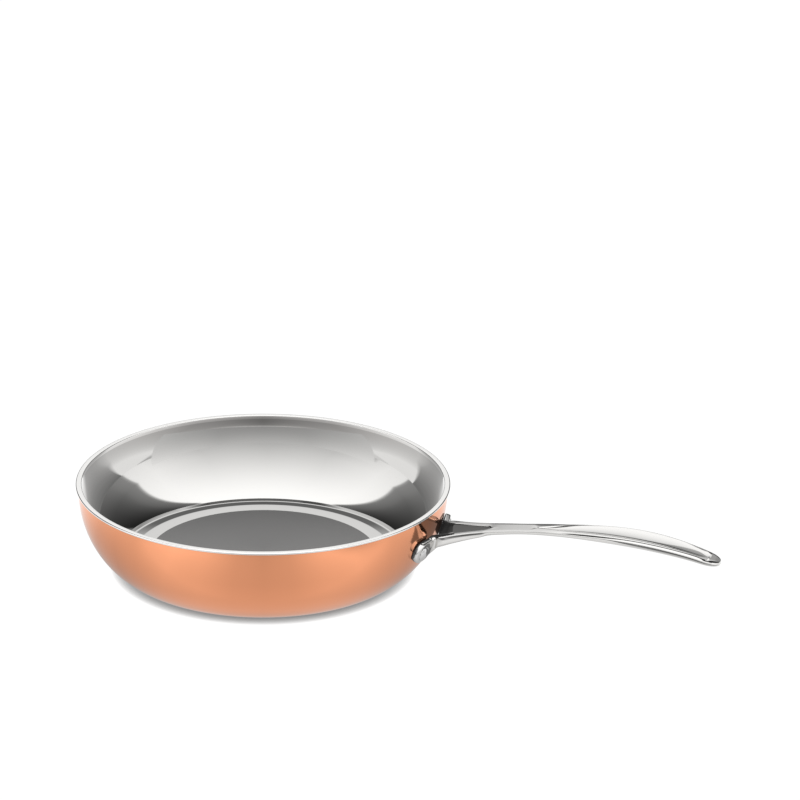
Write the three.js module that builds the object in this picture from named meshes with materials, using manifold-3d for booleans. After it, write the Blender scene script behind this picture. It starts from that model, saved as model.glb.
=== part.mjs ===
// Frying pan: copper outside, aluminium core, steel inside, and a cast steel handle on two rivets.
// Millimetres, +Z up. The origin is the centre of the flat base, and the handle runs along +X.

import * as THREE from 'three';
import Module from 'manifold-3d';
import { mergeVertices } from 'three/addons/utils/BufferGeometryUtils.js';

// Pan outside
const rimDiameter = 280;
const lipOverhang = 1.8;
const baseDiameter = 200;
const panHeight = 67;
const lipHeight = 2.8;
const lipRound = 1.2;
const lipInnerRound = 1.5;
const baseTangent = 8.3;
const wallTangent = 43.9;

// Bonded layers, from the outside in
const copperThickness = 0.8;
const coreThickness = 0.9;
const linerThickness = 0.6;
const bondGap = 0.1;
const floorHeight = 8;

// Rivets: the axis of each stands square to the wall
const rivetSpread = 56;
const rivetDrop = 26.7;
const shankDiameter = 6;
const outerHeadDiameter = 11.2;
const outerHeadHeight = 1.8;
const innerHeadDiameter = 12;
const innerHeadHeight = 1.5;
const headEdge = 0.5;
const shankClearance = 0.15;
const outerHeadClearance = 0.1;
const seatMargin = 0.5;
const innerHeadClearance = 0.3;

// Handle lugs and arms
const lugDiameter = 17;
const lugThickness = 4.5;
const lugRound = 1.4;
const lugReach = 4.8;
const wallClearance = 0.3;
const armEndHeight = 10;
const armEndThickness = 4.2;
const armEndDrop = 2.4;
const armEndInset = 2;
const armBend = 7;
const armLean = 0.3;

// Handle along its length: distances from the copper wall, drops from the rim, the end from the tip
const handleLength = 215.8;
const rootDistance = 8;
const forkDistance = 41;
const neckDistance = 62;
const gripDistance = 150;
const endLength = 15.8;
const rootDrop = 17.7;
const tipDrop = 12.2;
const rootRise = 0.182;
const tipFall = 0.268;
const rootTangent = 120;
const tipTangent = 54;

// Handle sections
const rootWidth = 35.5;
const forkWidth = 18.8;
const neckWidth = 16.6;
const gripWidth = 26.8;
const endWidth = 21;
const rootThickness = 7.3;
const forkThickness = 3.7;
const neckThickness = 3.6;
const gripThickness = 6.6;
const tipThickness = 5.6;
const forkRadius = 3.6;
const forkMouth = 19.6;
const forkOverlap = 0.85;
const forkSquareness = 7;
const neckSquareness = 4;
const gripSquareness = 2.5;
const endSquareness = 2.6;
const tipFlat = 0.079;

// Scoop in the top of the grip
const scoopStart = 75;
const scoopFull = 102;
const scoopMargin = 7.8;
const scoopRim = 3.4;
const scoopDepth = 2.6;

// Facets
const panSegments = 56;
const wallSteps = 9;
const arcSteps = 3;
const roundSegments = 20;
const ringSteps = 20;
const handleSteps = 20;
const tipSteps = 6;
const scoopSteps = 18;
const armSteps = 6;
const mergeTolerance = 1e-4;
const solveSteps = 50;
const bendStep = 0.05;

const rimRadius = rimDiameter / 2;
const wallRadius = rimRadius - lipOverhang;
const baseRadius = baseDiameter / 2;
const lipUnderside = panHeight - lipHeight;
const wallTop = lipUnderside - bondGap;
const coreDepth = copperThickness + bondGap;
const linerDepth = coreDepth + coreThickness + bondGap;
const wallDepth = linerDepth + linerThickness;

const wasm = await Module();
wasm.setup();

// A closed geometry as a solid for joins and cuts
function toSolid(geometry) {
  const bare = geometry.clone();
  bare.deleteAttribute('normal');
  bare.deleteAttribute('uv');
  const merged = mergeVertices(bare, mergeTolerance);
  const corners = merged.index.array;
  const triangles = [];
  for (let i = 0; i < corners.length; i += 3) {
    const [a, b, c] = corners.slice(i, i + 3);
    if (a !== b && b !== c && c !== a) triangles.push(a, b, c);
  }
  return new wasm.Manifold(new wasm.Mesh({
    numProp: 3,
    vertProperties: Float32Array.from(merged.attributes.position.array),
    triVerts: Uint32Array.from(triangles),
  }));
}

function toGeometry(solid) {
  const { vertProperties, triVerts } = solid.getMesh();
  const geometry = new THREE.BufferGeometry();
  geometry.setAttribute('position', new THREE.BufferAttribute(Float32Array.from(vertProperties), 3));
  geometry.setIndex(new THREE.BufferAttribute(Uint32Array.from(triVerts), 1));
  geometry.computeVertexNormals();
  return geometry;
}

// The value between 0 and 1 at which a rising function reaches a target
function solve(rising, target) {
  let low = 0;
  let high = 1;
  for (let i = 0; i < solveSteps; i += 1) {
    const middle = (low + high) / 2;
    if (rising(middle) < target) low = middle;
    else high = middle;
  }
  return (low + high) / 2;
}

// A smooth value along a line, through pairs of distance and value
function smooth(...pairs) {
  const spline = new THREE.CubicInterpolant(pairs.map((pair) => pair[0]), pairs.map((pair) => pair[1]), 1);
  return (distance) => spline.evaluate(distance)[0];
}

function arc(x, y, radius, fromDegrees, toDegrees) {
  const from = THREE.MathUtils.degToRad(fromDegrees);
  const to = THREE.MathUtils.degToRad(toDegrees);
  return new THREE.EllipseCurve(x, y, radius, radius, from, to, to < from).getPoints(arcSteps);
}

// A profile of radius and height turned round Z, outer side upwards
function revolve(profile, segments) {
  return new THREE.LatheGeometry(profile, segments).rotateX(Math.PI / 2);
}

// Pan wall: one curve from the flat base to a vertical stretch under the lip
const wallCurve = new THREE.CubicBezierCurve(
  new THREE.Vector2(baseRadius, 0),
  new THREE.Vector2(baseRadius + baseTangent, 0),
  new THREE.Vector2(wallRadius, wallTop - wallTangent),
  new THREE.Vector2(wallRadius, wallTop),
);

// A point of the wall moved square to it, by a depth into the pan
function layerPoint(t, depth) {
  const point = wallCurve.getPoint(t);
  const along = wallCurve.getTangent(t);
  return new THREE.Vector2(point.x - depth * along.y, point.y + depth * along.x);
}

// A layer's face from a given height up to the lip
function layerFace(depth, fromHeight) {
  const start = solve((t) => layerPoint(t, depth).y, fromHeight);
  const face = [];
  for (let i = 0; i <= wallSteps; i += 1) {
    face.push(layerPoint(THREE.MathUtils.lerp(start, 1, i / wallSteps), depth));
  }
  return face;
}

const onAxis = (height) => new THREE.Vector2(0, height);

function copperShellProfile() {
  const outer = layerFace(0, 0);
  const inner = layerFace(copperThickness, copperThickness);
  return [onAxis(0), ...outer, ...inner.reverse(), onAxis(copperThickness)];
}

function coreProfile() {
  const top = floorHeight - linerThickness - bondGap;
  const outer = layerFace(coreDepth, coreDepth);
  const inner = layerFace(coreDepth + coreThickness, top);
  return [onAxis(coreDepth), ...outer, ...inner.reverse(), onAxis(top)];
}

// The liner ends in a turned-out lip that covers the edges of the other layers
function linerProfile() {
  const underFloor = floorHeight - linerThickness;
  const lipTop = panHeight - lipRound;
  const lipSide = rimRadius - lipRound;
  const innerWall = wallRadius - wallDepth;
  return [
    onAxis(underFloor),
    ...layerFace(linerDepth, underFloor),
    new THREE.Vector2(wallRadius - linerDepth, lipUnderside),
    ...arc(lipSide, lipUnderside + lipRound, lipRound, -90, 0),
    ...arc(lipSide, lipTop, lipRound, 0, 90),
    ...arc(innerWall + lipInnerRound, panHeight - lipInnerRound, lipInnerRound, 90, 180),
    ...layerFace(wallDepth, floorHeight).reverse(),
    onAxis(floorHeight),
  ];
}

// Rivet axes: each starts on the copper, square to the wall, and its own Z points out of the pan
const rivetHeight = panHeight - rivetDrop;
const rivetParameter = solve((t) => wallCurve.getPoint(t).y, rivetHeight);
const rivetRadius = wallCurve.getPoint(rivetParameter).x;
const rivetTurn = Math.asin(rivetSpread / 2 / rivetRadius);
const wallSlope = wallCurve.getTangent(rivetParameter);

function rivetFrame(side) {
  const turn = side * rivetTurn;
  const level = new THREE.Vector3(Math.cos(turn), Math.sin(turn), 0);
  const outward = level.clone().multiplyScalar(wallSlope.y).setZ(-wallSlope.x);
  const foot = level.clone().multiplyScalar(rivetRadius).setZ(rivetHeight);
  const turned = new THREE.Quaternion().setFromUnitVectors(new THREE.Vector3(0, 0, 1), outward);
  return { outward, foot, matrix: new THREE.Matrix4().compose(foot, turned, new THREE.Vector3(1, 1, 1)) };
}

const lugFace = wallClearance + lugThickness;
const shankRadius = shankDiameter / 2;

// How far the hollow wall stands towards a flat head's edge, where it bends most
function hollowUnder(diameter) {
  const below = rivetParameter - bendStep;
  const above = rivetParameter + bendStep;
  const turned = wallCurve.getTangent(above).angle() - wallCurve.getTangent(below).angle();
  const bendUpwards = turned / layerPoint(above, wallDepth).distanceTo(layerPoint(below, wallDepth));
  const bendAround = wallSlope.y / (rivetRadius - wallDepth);
  return (Math.max(bendUpwards, bendAround) * diameter ** 2) / 8;
}

// A domed head: part of a sphere on a short straight edge, from its rim to its crown
function dome(diameter, height, base, upwards) {
  const half = diameter / 2;
  const crown = height - headEdge;
  const sphere = (half * half + crown * crown) / (2 * crown);
  const reach = THREE.MathUtils.radToDeg(Math.asin(half / sphere));
  const sign = upwards ? 1 : -1;
  const rim = arc(0, 0, sphere, 90 - reach, 90);
  return rim.map((point) => new THREE.Vector2(
    Math.abs(point.x),
    base + sign * (headEdge + point.y - (sphere - crown)),
  ));
}

function rivetGeometry() {
  const outerSeat = lugFace + outerHeadClearance;
  const innerSeat = -wallDepth - hollowUnder(innerHeadDiameter) - innerHeadClearance;
  const outerHead = dome(outerHeadDiameter, outerHeadHeight, outerSeat, true);
  const innerHead = dome(innerHeadDiameter, innerHeadHeight, innerSeat, false).reverse();
  const profile = [
    ...innerHead,
    new THREE.Vector2(innerHeadDiameter / 2, innerSeat),
    new THREE.Vector2(shankRadius, innerSeat),
    new THREE.Vector2(shankRadius, outerSeat),
    new THREE.Vector2(outerHeadDiameter / 2, outerSeat),
    ...outerHead,
  ];
  profile[0].x = 0;
  profile[profile.length - 1].x = 0;
  return revolve(profile, roundSegments);
}

// The bore that a rivet passes through, with its clearance, in every layer and in the lug
function rivetBore(side) {
  const radius = shankRadius + shankClearance;
  const reach = 2 * (wallDepth + lugFace + lugThickness);
  const bore = new THREE.CylinderGeometry(radius, radius, reach, roundSegments).rotateX(Math.PI / 2);
  return toSolid(bore.applyMatrix4(rivetFrame(side).matrix));
}

const bores = rivetBore(-1).add(rivetBore(1));

// A flat round seat sunk into the arm, so that the head beds on the lug
function headSeat(frame) {
  const radius = outerHeadDiameter / 2 + seatMargin;
  const depth = 2 * lugThickness;
  const seat = new THREE.CylinderGeometry(radius, radius, depth, roundSegments).rotateX(Math.PI / 2);
  return toSolid(seat.translate(0, 0, lugFace + depth / 2).applyMatrix4(frame.matrix));
}

function drilledLayer(profile) {
  return toGeometry(toSolid(revolve(profile, panSegments)).subtract(bores));
}

// Handle: its top line is one arch from the root to the tip
const rootX = wallRadius + rootDistance;
const forkX = wallRadius + forkDistance - forkRadius;
const tipX = wallRadius + handleLength;
const endX = tipX - endLength;
const rootTop = panHeight - rootDrop;
const tipTop = panHeight - tipDrop;
const topLine = new THREE.CubicBezierCurve(
  new THREE.Vector2(rootX, rootTop),
  new THREE.Vector2(rootX + rootTangent, rootTop + rootTangent * rootRise),
  new THREE.Vector2(tipX - tipTangent, tipTop + tipTangent * tipFall),
  new THREE.Vector2(tipX, tipTop),
);
const topAt = (x) => topLine.getPoint(solve((t) => topLine.getPoint(t).x, x)).y;

const halfWidthAt = smooth(
  [rootX, rootWidth / 2],
  [wallRadius + forkDistance, forkWidth / 2],
  [wallRadius + neckDistance, neckWidth / 2],
  [wallRadius + gripDistance, gripWidth / 2],
  [endX, endWidth / 2],
);
const thicknessAt = smooth(
  [rootX, rootThickness],
  [wallRadius + forkDistance, forkThickness],
  [wallRadius + neckDistance, neckThickness],
  [wallRadius + gripDistance, gripThickness],
  [tipX, tipThickness],
);
const squarenessAt = smooth(
  [forkX, forkSquareness],
  [wallRadius + neckDistance, neckSquareness],
  [wallRadius + gripDistance, gripSquareness],
);

const upwards = new THREE.Vector3(0, 0, 1);
const sideways = new THREE.Vector3(0, 1, 0);

// A rounded rectangular ring of points in the plane of two directions, deeper towards one side
function ring(centre, side, halfSide, halfUp, power, lean = 0) {
  const points = [];
  for (let i = 0; i < ringSteps; i += 1) {
    const angle = (2 * Math.PI * i) / ringSteps;
    const c = Math.cos(angle);
    const s = Math.sin(angle);
    const across = halfSide * Math.sign(c) * Math.abs(c) ** (2 / power);
    const deepening = s < 0 ? 1 + Math.abs(lean) + lean * c : 1;
    const above = halfUp * deepening * Math.sign(s) * Math.abs(s) ** (2 / power);
    points.push(centre.clone().addScaledVector(side, across).addScaledVector(upwards, above));
  }
  return points;
}

// A closed skin over a row of rings, with flat ends
function loft(rings) {
  const positions = rings.flat().flatMap((point) => point.toArray());
  const triangles = [];
  const last = rings.length - 1;
  const corner = (row, step) => row * ringSteps + (step % ringSteps);
  for (let step = 0; step < ringSteps; step += 1) {
    for (let row = 0; row < last; row += 1) {
      triangles.push(corner(row, step), corner(row, step + 1), corner(row + 1, step));
      triangles.push(corner(row, step + 1), corner(row + 1, step + 1), corner(row + 1, step));
    }
    if (step > 0 && step < ringSteps - 1) {
      triangles.push(corner(0, 0), corner(0, step + 1), corner(0, step));
      triangles.push(corner(last, 0), corner(last, step), corner(last, step + 1));
    }
  }
  const geometry = new THREE.BufferGeometry();
  geometry.setAttribute('position', new THREE.Float32BufferAttribute(positions, 3));
  geometry.setIndex(triangles);
  return geometry;
}

// One section of the handle's beam, hung from the top line
function beamRing(x, widthShare, thicknessShare) {
  const thickness = thicknessAt(x);
  const centre = new THREE.Vector3(x, 0, topAt(x) - thickness / 2);
  const half = halfWidthAt(x) * widthShare;
  return ring(centre, sideways, half, (thickness / 2) * thicknessShare, squarenessAt(x));
}

function beam() {
  const startX = THREE.MathUtils.lerp(rootX, forkX, forkOverlap);
  const rings = [];
  for (let i = 0; i <= handleSteps; i += 1) {
    rings.push(beamRing(THREE.MathUtils.lerp(startX, endX, i / handleSteps), 1, 1));
  }
  for (let i = 1; i <= tipSteps; i += 1) {
    const out = (1 - tipFlat / (tipX - endX)) * Math.sin((Math.PI / 2) * (i / tipSteps));
    const left = (1 - out ** endSquareness) ** (1 / endSquareness);
    rings.push(beamRing(THREE.MathUtils.lerp(endX, tipX, out), left, Math.sqrt(left)));
  }
  return toSolid(loft(rings));
}

// The open V between the arms, with a round end, right through the handle
const gapHalfAt = (x) => THREE.MathUtils.mapLinear(x, forkX, rootX, forkRadius, forkMouth / 2);

function forkGap() {
  const lean = Math.atan2(forkMouth / 2 - forkRadius, forkX - rootX);
  const outline = new THREE.Shape();
  outline.moveTo(wallRadius, -gapHalfAt(wallRadius));
  outline.lineTo(forkX + forkRadius * Math.sin(lean), -forkRadius * Math.cos(lean));
  outline.absarc(forkX, 0, forkRadius, lean - Math.PI / 2, Math.PI / 2 - lean);
  outline.lineTo(wallRadius, gapHalfAt(wallRadius));
  const gap = new THREE.ExtrudeGeometry(outline, {
    depth: 2 * panHeight,
    bevelEnabled: false,
    curveSegments: 2 * arcSteps,
  });
  return toSolid(gap);
}

// The concave scoop: a long boat shape that opens from a V behind the neck
function scoop() {
  const startX = wallRadius + scoopStart;
  const fullX = wallRadius + scoopFull;
  const closeX = tipX - scoopMargin;
  const rings = [];
  for (let i = 1; i < scoopSteps; i += 1) {
    const share = (1 - Math.cos((Math.PI * i) / scoopSteps)) / 2;
    const x = THREE.MathUtils.lerp(startX, closeX, share);
    const opening = THREE.MathUtils.clamp((x - startX) / (fullX - startX), 0, 1);
    const closing = THREE.MathUtils.clamp((closeX - x) / (closeX - endX), 0, 1);
    const rounding = Math.sqrt(1 - (1 - closing) ** 2);
    const half = (halfWidthAt(x) - scoopRim) * opening * rounding;
    const depth = scoopDepth * Math.sqrt(opening) * Math.sqrt(rounding);
    rings.push(ring(new THREE.Vector3(x, 0, topAt(x)), sideways, half, depth, 2));
  }
  return toSolid(loft(rings));
}

// An arm carries the side of the beam along the gap, then bends round to its lug
function arm(side, frame) {
  const rings = [];
  const middle = (x) => new THREE.Vector2(x, (side * (halfWidthAt(x) + gapHalfAt(x))) / 2);
  const halfAt = (x) => (halfWidthAt(x) - gapHalfAt(x)) / 2;
  for (let i = 0; i <= armSteps; i += 1) {
    const x = THREE.MathUtils.lerp(forkX, rootX, i / armSteps);
    const half = thicknessAt(x) / 2;
    const centre = new THREE.Vector3(x, middle(x).y, topAt(x) - half);
    const lean = (side * armLean * i) / armSteps;
    rings.push(ring(centre, sideways.clone().negate(), halfAt(x), half, neckSquareness, lean));
  }
  const root = middle(rootX);
  const away = root.clone().sub(middle(rootX + armBend));
  const foot = frame.foot.clone().addScaledVector(frame.outward, wallClearance + armEndThickness / 2);
  const end = new THREE.Vector2(foot.x, foot.y - side * armEndInset);
  const along = new THREE.Vector2(frame.outward.y, -frame.outward.x).setLength(armBend * side);
  const path = new THREE.CubicBezierCurve(root, root.clone().add(away), end.clone().add(along), end);
  const endTop = rivetHeight + lugDiameter / 2 - armEndDrop;
  for (let i = 1; i <= armSteps; i += 1) {
    const t = i / armSteps;
    const point = path.getPoint(t);
    const heading = path.getTangent(t);
    const across = new THREE.Vector3(-heading.y, heading.x, 0);
    const half = THREE.MathUtils.lerp(halfAt(rootX), armEndThickness / 2, t);
    const halfUp = THREE.MathUtils.lerp(rootThickness, armEndHeight, t) / 2;
    const top = THREE.MathUtils.lerp(rootTop, endTop, t * t);
    const centre = new THREE.Vector3(point.x, point.y, top - halfUp);
    rings.push(ring(centre, across, half, halfUp, neckSquareness, side * armLean));
  }
  return toSolid(loft(rings));
}

// A lug is a round boss, drawn out along the wall towards the arm
function lug(side, frame) {
  const radius = lugDiameter / 2;
  const profile = [
    onAxis(-lugThickness),
    new THREE.Vector2(radius, -lugThickness),
    ...arc(radius - lugRound, lugFace - lugRound, lugRound, 0, 90),
    onAxis(lugFace),
  ];
  const boss = toSolid(revolve(profile, roundSegments).applyMatrix4(frame.matrix));
  const towardsArm = new THREE.Vector3(frame.outward.y, -frame.outward.x, 0).setLength(side * lugReach);
  return wasm.Manifold.hull([boss, boss.translate(towardsArm.toArray())]);
}

// What the handle must keep clear of: the pan's outside, grown by the clearance
function wallKeepOut() {
  const outside = layerFace(-wallClearance, -wallClearance);
  return toSolid(revolve([onAxis(-wallClearance), ...outside, onAxis(wallTop)], panSegments));
}

function handleGeometry() {
  let handle = beam().subtract(forkGap()).subtract(scoop());
  for (const side of [-1, 1]) {
    const frame = rivetFrame(side);
    handle = handle.add(arm(side, frame)).add(lug(side, frame)).subtract(headSeat(frame));
  }
  return toGeometry(handle.subtract(wallKeepOut()).subtract(bores));
}

const copper = new THREE.MeshStandardMaterial({ color: 0xe0966c, metalness: 1, roughness: 0.22 });
const aluminium = new THREE.MeshStandardMaterial({ color: 0xb9bcc0, metalness: 1, roughness: 0.45 });
const linerSteel = new THREE.MeshStandardMaterial({ color: 0xd2d3d4, metalness: 1, roughness: 0.12 });
const castSteel = new THREE.MeshStandardMaterial({ color: 0xdcdcdb, metalness: 1, roughness: 0.16 });
const rivetSteel = new THREE.MeshStandardMaterial({ color: 0xd6d6d8, metalness: 1, roughness: 0.2 });

const pan = new THREE.Group();

function addPiece(name, geometry, material) {
  const piece = new THREE.Mesh(geometry, material);
  piece.name = name;
  pan.add(piece);
  return piece;
}

addPiece('copper_shell', drilledLayer(copperShellProfile()), copper);
addPiece('aluminium_core', drilledLayer(coreProfile()), aluminium);
addPiece('steel_liner', drilledLayer(linerProfile()), linerSteel);
addPiece('handle', handleGeometry(), castSteel);
addPiece('rivet_near', rivetGeometry(), rivetSteel).applyMatrix4(rivetFrame(-1).matrix);
addPiece('rivet_far', rivetGeometry(), rivetSteel).applyMatrix4(rivetFrame(1).matrix);

export default pan;
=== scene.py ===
# %% [markdown]
# # A copper frying pan with a forked steel handle
# This file is a lesson. It loads the pan's solids, then models each piece that shows as a fine mesh
# and gives it the finish of the real metal. Lengths are written in millimetres, as on a drawing, and
# turned to Blender's metres in one place.

# %% Load the solids
import bpy
import math
from mathutils import Matrix, Vector


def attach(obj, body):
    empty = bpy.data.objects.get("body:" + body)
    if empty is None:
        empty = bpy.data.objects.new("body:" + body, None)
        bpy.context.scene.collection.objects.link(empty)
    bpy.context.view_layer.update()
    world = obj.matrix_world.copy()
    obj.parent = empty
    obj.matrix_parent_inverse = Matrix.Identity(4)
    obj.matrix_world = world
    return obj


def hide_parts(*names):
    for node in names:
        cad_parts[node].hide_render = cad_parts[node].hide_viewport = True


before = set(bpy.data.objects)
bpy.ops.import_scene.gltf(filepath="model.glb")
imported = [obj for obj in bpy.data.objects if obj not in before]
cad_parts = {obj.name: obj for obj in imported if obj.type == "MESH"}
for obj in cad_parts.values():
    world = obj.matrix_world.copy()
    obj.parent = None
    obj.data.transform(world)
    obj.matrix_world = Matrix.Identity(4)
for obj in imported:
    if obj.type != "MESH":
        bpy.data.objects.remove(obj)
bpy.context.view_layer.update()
print("nodes:", sorted(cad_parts))

# %% [markdown]
# ## Small helpers
# An operator acts on whatever is selected, so each piece starts from an empty selection, and one function
# selects the edges or faces that pass a test and leaves the piece in edit mode for the next operator.
# Colours are written as sRGB hex values, the way a paint program shows them, and one function turns
# them to the linear values that Blender's shaders use.

# %% Helpers for lengths, colours and selections
MM = 0.001
MERGE_WITHIN = 0.00001


def metres(*millimetres):
    return Vector(millimetres) * MM


def linear(hex_code):
    channels = [int(hex_code[i:i + 2], 16) / 255 for i in (1, 3, 5)]
    return [c / 12.92 if c <= 0.04045 else ((c + 0.055) / 1.055) ** 2.4 for c in channels] + [1]


def lerp(a, b, share):
    return a + (b - a) * share


def ease(low, high, value):
    share = min(1, max(0, (value - low) / (high - low)))
    return share * share * (3 - 2 * share)


def select_only(piece):
    bpy.ops.object.select_all(action="DESELECT")
    piece.select_set(True)
    bpy.context.view_layer.objects.active = piece


def select_where(piece, kind, wanted):
    bpy.ops.object.mode_set(mode="EDIT")
    bpy.ops.mesh.select_mode(type=kind)
    bpy.ops.mesh.select_all(action="DESELECT")
    bpy.ops.object.mode_set(mode="OBJECT")
    for element in piece.data.edges if kind == "EDGE" else piece.data.polygons:
        element.select = wanted(element)
    bpy.ops.object.mode_set(mode="EDIT")


def apply_modifier(piece, kind, **settings):
    select_only(piece)
    modifier = piece.modifiers.new(kind.title(), kind)
    for name, value in settings.items():
        setattr(modifier, name, value)
    bpy.ops.object.modifier_apply(modifier=modifier.name)


# %% [markdown]
# ## Camera
# The photograph was taken with a long lens from a little above the rim, so the pan's ellipse is
# nearly free of perspective. The camera stands 3.3 m from the middle of the rim, and looks past it,
# because the pan sits left of and below the middle of the picture. Its axes are built one by one, so that
# the rim stays level in the picture although the camera is turned a little away from it.

# %% Camera at the photograph's angle
PAN_HEIGHT = 67
CAMERA_AZIMUTH = math.radians(20.4)
CAMERA_ELEVATION = math.radians(21.95)
CAMERA_DISTANCE = 3.3274
AIM_RIGHT, AIM_UP = 0.1024, 0.0604
LENS, SENSOR, VIEW_END = 200, 36, 50
to_right = Vector((math.cos(CAMERA_AZIMUTH), math.sin(CAMERA_AZIMUTH), 0))
level_back = Vector((math.sin(CAMERA_AZIMUTH), -math.cos(CAMERA_AZIMUTH), 0))
to_camera = level_back * math.cos(CAMERA_ELEVATION) + Vector((0, 0, math.sin(CAMERA_ELEVATION)))
picture_up = to_camera.cross(to_right)
rim_centre = metres(0, 0, PAN_HEIGHT)
eye = rim_centre + to_camera * CAMERA_DISTANCE
aim = rim_centre + to_right * AIM_RIGHT + picture_up * AIM_UP
forward = (aim - eye).normalized()
sideways = (to_right - forward * to_right.dot(forward)).normalized()
camera_axes = Matrix((sideways, sideways.cross(forward), -forward)).transposed()

bpy.ops.object.camera_add(location=eye)
camera = bpy.context.object
camera.name = "camera"
camera.rotation_euler = camera_axes.to_euler()
camera.data.lens = LENS
camera.data.sensor_width = SENSOR
camera.data.clip_end = VIEW_END
bpy.context.scene.camera = camera
print("camera at", [round(v, 3) for v in eye])

# %% [markdown]
# ## The three bonded layers
# A clad pan is pressed from sheets that are bonded first: copper outside, an aluminium core that
# spreads the heat, and stainless steel inside. All three follow one curve, so each profile is that
# curve moved square to itself. A profile is drawn point by point with extrude and then spun round Z,
# which is how the metal itself is pressed and polished: on a turning wheel. A cylinder scaled ring by
# ring could give the same bowl, but a profile keeps the thickness of each sheet in plain sight.

# %% The wall's curve, and points at a depth inside it
BASE_RADIUS = 100
WALL_RADIUS = 138.2
RIM_RADIUS = 140
WALL_TOP = 64.1
COPPER_TOP = 65.1
LIP_UNDERSIDE = 65.2
COPPER, CORE, LINER, BOND = 0.8, 0.9, 0.6, 0.1
FLOOR = 8
GROOVE_EDGE, GROOVE_FOOT = 97.2, 106.8
GROOVE_FLOOR = FLOOR - 1.45
GROOVE_UNDER = GROOVE_FLOOR - LINER
WALL_STEPS = 36
ROUND_STEPS = 256

CURVE = [Vector((BASE_RADIUS, 0)), Vector((BASE_RADIUS + 8.3, 0)),
         Vector((WALL_RADIUS, WALL_TOP - 43.9)), Vector((WALL_RADIUS, WALL_TOP))]


def bezier(points, t):
    a, b, c, d = points
    u = 1 - t
    return a * u ** 3 + b * 3 * u * u * t + c * 3 * u * t * t + d * t ** 3


def bezier_heading(points, t):
    a, b, c, d = points
    u = 1 - t
    return ((b - a) * u * u + (c - b) * 2 * u * t + (d - c) * t * t).normalized()


def layer_point(t, depth):
    point = bezier(CURVE, t)
    along = bezier_heading(CURVE, t)
    return Vector((point.x - depth * along.y, point.y + depth * along.x))


def solve(rising, target):
    low, high = 0.0, 1.0
    for _ in range(50):
        middle = (low + high) / 2
        low, high = (middle, high) if rising(middle) < target else (low, middle)
    return (low + high) / 2


def layer_face(depth, from_height):
    start = solve(lambda t: layer_point(t, depth).y, from_height)
    return [layer_point(lerp(start, 1, i / WALL_STEPS), depth) for i in range(WALL_STEPS + 1)]


def arc(x, z, radius, start, end, steps=8):
    angles = [math.radians(lerp(start, end, i / steps)) for i in range(steps + 1)]
    return [Vector((x + radius * math.cos(a), z + radius * math.sin(a))) for a in angles]


# %% Spin a profile of radius and height into a closed piece
def spin_profile(name, profile, steps):
    bpy.ops.object.select_all(action="DESELECT")
    first = profile[0]
    bpy.ops.mesh.primitive_plane_add(size=0.001, location=metres(first.x, 0, first.y))
    piece = bpy.context.object
    piece.name = name
    bpy.ops.object.transform_apply()
    bpy.ops.object.mode_set(mode="EDIT")
    bpy.ops.mesh.select_mode(type="VERT")
    bpy.ops.mesh.select_all(action="SELECT")
    bpy.ops.mesh.merge(type="CENTER")
    for here, there in zip(profile, profile[1:]):
        step = there - here
        bpy.ops.mesh.extrude_vertices_move(TRANSFORM_OT_translate={"value": metres(step.x, 0, step.y)})
    bpy.ops.mesh.select_all(action="SELECT")
    bpy.ops.mesh.spin(steps=steps, angle=2 * math.pi, center=(0, 0, 0), axis=(0, 0, 1))
    bpy.ops.mesh.select_all(action="SELECT")
    bpy.ops.mesh.remove_doubles(threshold=MERGE_WITHIN)
    bpy.ops.mesh.normals_make_consistent(inside=False)
    bpy.ops.object.mode_set(mode="OBJECT")
    print(name, "has", len(piece.data.polygons), "faces")
    return piece


def smooth_shade(piece, degrees):
    select_only(piece)
    bpy.ops.object.shade_smooth_by_angle(angle=math.radians(degrees))


# %% Copper skin: base and wall in one, with its edge under the lip
outer = layer_face(0, 0) + [Vector((WALL_RADIUS, COPPER_TOP))]
inner = layer_face(COPPER, COPPER) + [Vector((WALL_RADIUS - COPPER, COPPER_TOP))]
flat_steps = [Vector((r, 0)) for r in (0, 30, 60, 85, 96, 99)]
inner_flat = [Vector((r, COPPER)) for r in (99, 96, 85, 60, 30, 0)]
copper_skin = spin_profile("copper_skin", flat_steps + outer + inner[::-1] + inner_flat, ROUND_STEPS)
smooth_shade(copper_skin, 35)

# %% Aluminium core, thick under the floor and thin in the wall, with a dip under the floor's groove
core_depth = COPPER + BOND
core_top = FLOOR - LINER - BOND
core_profile = [Vector((0, core_depth))] + layer_face(core_depth, core_depth)
core_profile += layer_face(core_depth + CORE, GROOVE_UNDER - BOND)[::-1]
core_profile += [Vector((GROOVE_FOOT, GROOVE_UNDER - BOND))]
core_profile += [Vector((r, core_top)) for r in (GROOVE_EDGE - 0.6, 0)]
core_plate = spin_profile("core_plate", core_profile, ROUND_STEPS)
smooth_shade(core_plate, 35)

# %% [markdown]
# ## Steel liner
# The liner is the cooking surface. Pressing the wall up leaves a shallow groove round the floor: below the
# crease a narrow facet drops into it, and a long slope climbs back to the floor. The middle of the floor
# is brushed in circles and crowned a little, so the disc's far side leans away and mirrors the dark low
# part of the room. At the top the sheet turns out over the copper's edge as a rounded lip.
#
# The groove could be a bump in the material, but its facet and slope are what draws the two thin dark
# lines round the floor, so they are part of the profile. The disc's edge is an edge loop, because the
# brushed finish stops there.

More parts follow.
